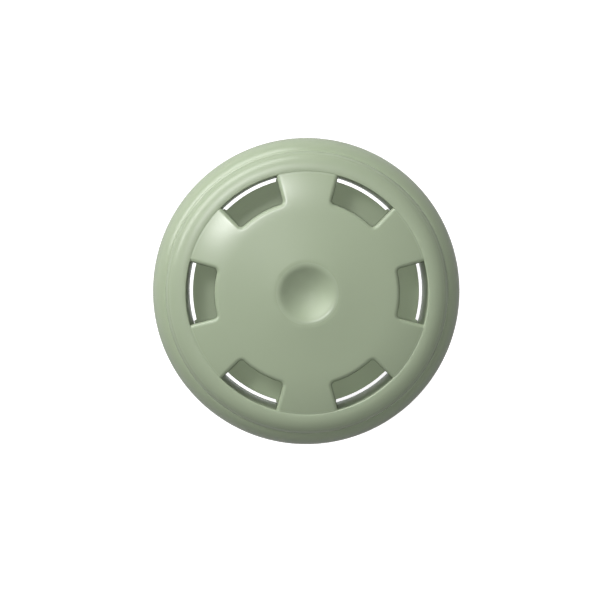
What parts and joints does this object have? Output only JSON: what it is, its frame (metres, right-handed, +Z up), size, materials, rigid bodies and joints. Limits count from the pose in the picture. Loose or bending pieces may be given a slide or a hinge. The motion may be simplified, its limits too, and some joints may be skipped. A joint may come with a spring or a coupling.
{
  "type": "wasp trap",
  "caption": "Table-top wasp trap: round sage roof with entry windows over a sloping drain deck and funnel, screwed onto a clear catch jar with a bait cup.",
  "frame": {"origin": "on the axis of the jar, on the surface that the trap stands on", "axes": "+Z up along the axis of jar, funnel and roof; +X through the middle of one window"},
  "size_m": [0.12, 0.1196, 0.1269],
  "materials": {
    "sage_plastic": "satin injection-moulded plastic in sage green",
    "clear_plastic": "clear glossy plastic",
    "silicone": "matt translucent white silicone",
    "lure_felt": "felt soaked with lure"
  },
  "bodies": {
    "jar": {"catch_jar": "clear_plastic"},
    "seal": {"seal_ring": "silicone"},
    "head": {"drain_deck": "sage_plastic", "entry_funnel": "sage_plastic"},
    "roof": {"roof_cap": "sage_plastic"},
    "cup": {"bait_cup": "sage_plastic", "lure_pad": "lure_felt"},
    "lid": {"bait_lid": "sage_plastic"}
  },
  "joints": [
    {"name": "head_rise", "type": "slide", "parent": "jar", "child": "seal", "axis": [0, 0, 1], "range_m": [0, 0.004]},
    {"name": "head_turn", "type": "hinge", "parent": "seal", "child": "head", "pos_m": [0, 0, 0.09], "axis": [0, 0, 1], "range_deg": [0, 360]},
    {"name": "roof_lift", "type": "slide", "parent": "head", "child": "roof", "axis": [0, 0, 1], "range_m": [0, 0.04]},
    {"name": "cup_lift", "type": "slide", "parent": "jar", "child": "cup", "axis": [0, 0, 1], "range_m": [0, 0.018]},
    {"name": "lid_lift", "type": "slide", "parent": "cup", "child": "lid", "axis": [0, 0, 1], "range_m": [0, 0.01]}
  ],
  "couplings": [
    {"joint": "head_rise", "follows": "head_turn", "m_per_rad": 0.00063662}
  ]
}
